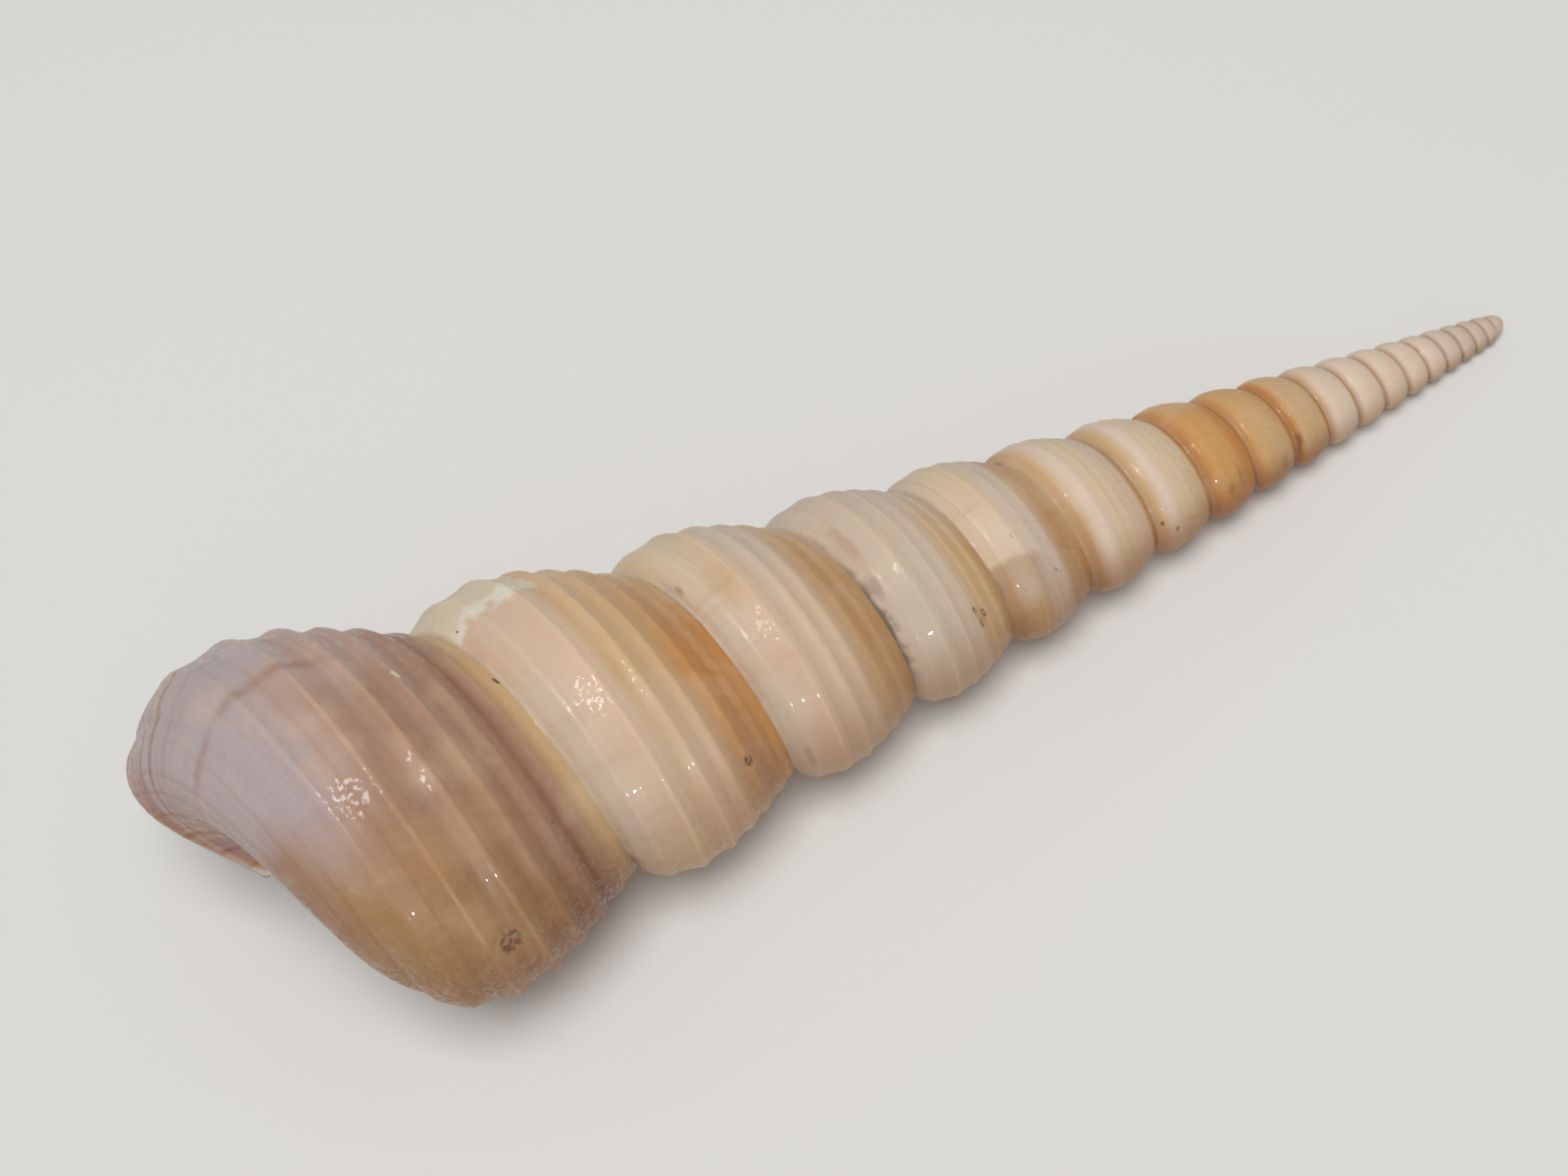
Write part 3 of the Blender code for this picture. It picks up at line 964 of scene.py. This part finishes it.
def inside_finish(props):
    """The smooth inside of the mouth, chalky along the lip's edge."""
    finish = Finish(bpy.data.materials.new("shell_inside"))
    turns, across = finish.growth()
    where = finish.place()
    clouds = finish.noise(where, 140.0, 3.0)
    colour = finish.mix(finish.step(clouds, 0.35, 0.70), (*props.ivory, 1.0), (*props.blush, 1.0))
    lines = finish.noise(finish.vector(turns * 60.0, across * 2.0), 1.0, 3.0)
    colour = finish.mix(0.4 * finish.step(lines, 0.5, 0.7), colour, (*props.rose, 1.0))
    rim = finish.step(across, *CHALKY_RIM)
    colour = finish.mix(0.5 * rim, colour, (*props.chalk, 1.0))
    normal = finish.bumped(0.00004 * finish.noise(where, 500.0, 2.0) + 0.00003 * lines)
    return finish.output(finish.principled({"Base Color": colour, "Roughness": 0.26, "Normal": normal}))


def floor_finish(props):
    """A plain pale floor that melts into the backdrop far out, and is clear from beneath."""
    finish = Finish(bpy.data.materials.new("floor"))
    away = finish.node("ShaderNodeVectorMath", {"operation": "LENGTH"}, {0: finish.place()}, "Value")
    beneath = finish.node("ShaderNodeNewGeometry", None, None, "Backfacing")
    clear = finish.math("MAXIMUM", finish.step(away, *FLOOR_EDGE), beneath)
    colour = (*props.floor, 1.0)
    solid = finish.principled({"Base Color": colour, "Roughness": 0.9, "Specular IOR Level": 0.2})
    nothing = finish.node("ShaderNodeBsdfTransparent")
    return finish.output(finish.node("ShaderNodeMixShader", None, {0: clear, 1: solid, 2: nothing}))


def studio_world(props):
    """Even light, and a pale background where the world itself is seen or mirrored."""
    finish = Finish(bpy.data.worlds.new("studio"))
    shown = 0.0
    for kind in ("Is Camera Ray", "Is Glossy Ray", "Is Transmission Ray"):
        shown = finish.math("MAXIMUM", shown, finish.node("ShaderNodeLightPath", None, None, kind))
    strength = props.fill + (1.0 - props.fill) * shown
    colour = (*props.backdrop, 1.0)
    background = finish.node("ShaderNodeBackground", None, {"Color": colour, "Strength": strength})
    return finish.output(background, "ShaderNodeOutputWorld")


# ---------------------------------------------------------------- operators


def colour_property(name, what, colour):
    """A colour that a user may change."""
    return FloatVectorProperty(
        name=name, description=what, default=colour, min=0.0, max=1.0, size=3, subtype="COLOR"
    )


def paint_property(name, what, red, green, blue):
    """A paint of the shell, given as it looks."""
    return colour_property(name, "Colour of " + what, paint(red, green, blue))


class TurretShellSizes(bpy.types.PropertyGroup):
    """Sizes and colours of the shell."""

    lip: FloatProperty(
        name="Lip thickness", description="Thickness of the wall at the lip",
        default=0.0010, min=0.0004, max=0.0020, unit="LENGTH",
    )
    roughness: FloatProperty(
        name="Roughness", description="How dull the sound shell is",
        default=0.44, min=0.05, max=1.0, subtype="FACTOR",
    )
    ivory: paint_property("Ivory", "palest shell", 212, 190, 160)
    pearl: paint_property("Pearl", "the pale pinkish upper whorls", 216, 197, 178)
    bone: paint_property("Bone", "greyish, pinkish white shell", 202, 184, 166)
    blush: paint_property("Blush", "pinkish cream shell", 210, 182, 156)
    peach: paint_property("Peach", "warm peach shell", 206, 168, 128)
    honey: paint_property("Honey", "yellowish cream shell", 200, 168, 126)
    tan: paint_property("Tan", "orange tan bands", 184, 144, 102)
    gold: paint_property("Gold", "golden brown of the last whorl", 170, 132, 88)
    umber: paint_property("Umber", "pinkish brown of the last whorl", 162, 124, 94)
    mauve: paint_property("Mauve", "brownish mauve of the last whorl", 162, 126, 103)
    rose: paint_property("Rose", "pinkish grey of the last whorl", 180, 154, 142)
    lilac: paint_property("Lilac", "lilac grey by the lip", 178, 164, 164)
    caramel: paint_property("Caramel", "orange of the upper whorls", 201, 154, 94)
    ember: paint_property("Ember", "deep orange under the upper seams", 191, 134, 74)
    # Also painted shade, on the side of each whorl that faces forward and down and in the later whorls'
    # furrows.
    warmth_and_shade: paint_property("Warmth", "thin brown of fine lines", 228, 206, 180)
    # Also painted shade, on each whorl's forward, lower side, in the seam grooves and over the base.
    furrow: paint_property("Furrow", "thin brown in the furrows", 204, 166, 131)
    chestnut: paint_property("Chestnut", "brown of rest lines and pits", 112, 74, 48)
    dirt: paint_property("Dirt", "dirt caught in the seams", 74, 68, 58)
    chalk: paint_property("Chalk", "worn, chalky shell", 216, 204, 180)
    white: paint_property("White", "the rim of the worn patch", 228, 220, 206)


class TurretShellStage(bpy.types.PropertyGroup):
    """The table, the light and the camera."""

    floor: colour_property("Floor", "Colour of the table", (0.72, 0.71, 0.69))
    backdrop: colour_property("Backdrop", "Colour of the world around", (0.90, 0.90, 0.90))
    key: FloatProperty(
        name="Key light", description="Power of the large soft lamp overhead",
        default=4.6, min=0.0, unit="POWER",
    )
    glint: FloatProperty(
        name="Glint light", description="Power of the small low lamp that makes the ribs glint",
        default=1.8, min=0.0, unit="POWER",
    )
    fill: FloatProperty(
        name="Fill light", description="Strength of the even light from all around",
        default=0.36, min=0.0,
    )


class TURRETSHELL_OT_shell(bpy.types.Operator):
    """Builds the shell's fine surface and its finishes"""

    bl_idname = "turret_shell.shell"
    bl_label = "Shell"

    def execute(self, context):
        props = context.scene.turret_shell
        shell = bpy.data.objects.new("shell", shell_mesh(props.lip))
        context.scene.collection.objects.link(shell)
        shell.data.transform(resting())
        shell.data.materials.append(outside_finish(props))
        shell.data.materials.append(inside_finish(props))
        context.view_layer.update()
        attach(shell, "root")
        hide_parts("turret_shell")
        return {"FINISHED"}


# The camera: the place it faces, where it is seen from there, how far off, its roll and its lens.
AIM = Vector((-0.00852, 0.00174, 0.01641))
CAMERA_PLACE = (-20.907, 67.393)  # degrees: azimuth, 0 in front, and elevation
CAMERA_DISTANCE = 0.22889
CAMERA_ROLL = -7.636  # degrees
CAMERA_LENS = 65.25  # mm
CAMERA_SENSOR = 36.0  # mm

# Square lamps: size, distance from the place that the camera faces, azimuth and elevation.
KEY = (0.32, 0.80, (-40.0, 80.0))
GLINT = (0.014, 0.70, (2.0, 15.0))

FLOOR_HALF = 2.0
FLOOR_EDGE = (0.14, 0.45)  # distances over which the floor melts into the backdrop


def seen_from(azimuth, elevation):
    """Direction towards a place given by its azimuth, 0 in front, and its elevation."""
    azimuth = math.radians(azimuth)
    elevation = math.radians(elevation)
    level = math.cos(elevation)
    return Vector((math.sin(azimuth) * level, -math.cos(azimuth) * level, math.sin(elevation)))


def facing(direction, roll=0.0):
    """Rotation that looks back along a direction."""
    return direction.to_track_quat("Z", "Y") @ Euler((0.0, 0.0, math.radians(roll))).to_quaternion()


class TURRETSHELL_OT_stage(bpy.types.Operator):
    """Sets the table, the light and the camera"""

    bl_idname = "turret_shell.stage"
    bl_label = "Stage"

    def lamp(self, scene, name, power, size, distance, place):
        """Hangs a square lamp that faces the middle of the shell, and returns it."""
        lamp = bpy.data.lights.new(name, "AREA")
        lamp.size = size
        lamp.energy = power
        holder = bpy.data.objects.new(name, lamp)
        direction = seen_from(*place)
        holder.location = AIM + direction * distance
        holder.rotation_euler = facing(direction).to_euler()
        scene.collection.objects.link(holder)
        return holder

    def execute(self, context):
        props = context.scene.turret_shell_stage
        scene = context.scene
        mesh = bpy.data.meshes.new("floor")
        signs = ((-1, -1), (1, -1), (1, 1), (-1, 1))
        corners = [(x * FLOOR_HALF, y * FLOOR_HALF, 0.0) for x, y in signs]
        mesh.from_pydata(corners, [], [(0, 1, 2, 3)])
        floor = bpy.data.objects.new("floor", mesh)
        scene.collection.objects.link(floor)
        mesh.materials.append(floor_finish(props))

        self.lamp(scene, "key", props.key, *KEY)
        glint = self.lamp(scene, "glint", props.glint, *GLINT)
        glint.visible_diffuse = False  # it is only mirrored and throws no second shadow
        scene.world = studio_world(props)

        lens = bpy.data.cameras.new("camera")
        lens.lens = CAMERA_LENS
        lens.sensor_width = CAMERA_SENSOR
        lens.clip_start = 0.01
        camera = bpy.data.objects.new("camera", lens)
        direction = seen_from(*CAMERA_PLACE)
        camera.location = AIM + direction * CAMERA_DISTANCE
        camera.rotation_euler = facing(direction, CAMERA_ROLL).to_euler()
        scene.collection.objects.link(camera)
        scene.camera = camera
        scene.view_settings.view_transform = "Standard"
        return {"FINISHED"}


class TURRETSHELL_PT_panel(bpy.types.Panel):
    """Sizes, colours and steps of the turret shell"""

    bl_label = "Turret Shell"
    bl_idname = "TURRETSHELL_PT_panel"
    bl_space_type = "VIEW_3D"
    bl_region_type = "UI"
    bl_category = "Turret Shell"

    def draw(self, context):
        steps = (("turret_shell", "turret_shell.shell"), ("turret_shell_stage", "turret_shell.stage"))
        for name, operator in steps:
            props = getattr(context.scene, name)
            box = self.layout.box()
            for key in props.__annotations__:
                box.prop(props, key)
            box.operator(operator)


CLASSES = (
    TurretShellSizes,
    TurretShellStage,
    TURRETSHELL_OT_shell,
    TURRETSHELL_OT_stage,
    TURRETSHELL_PT_panel,
)


def register():
    for cls in CLASSES:
        bpy.utils.register_class(cls)
    bpy.types.Scene.turret_shell = PointerProperty(type=TurretShellSizes)
    bpy.types.Scene.turret_shell_stage = PointerProperty(type=TurretShellStage)


def unregister():
    del bpy.types.Scene.turret_shell_stage
    del bpy.types.Scene.turret_shell
    for cls in reversed(CLASSES):
        bpy.utils.unregister_class(cls)


def main():
    register()
    bpy.ops.turret_shell.shell()
    bpy.ops.turret_shell.stage()


if __name__ == "__main__":
    main()
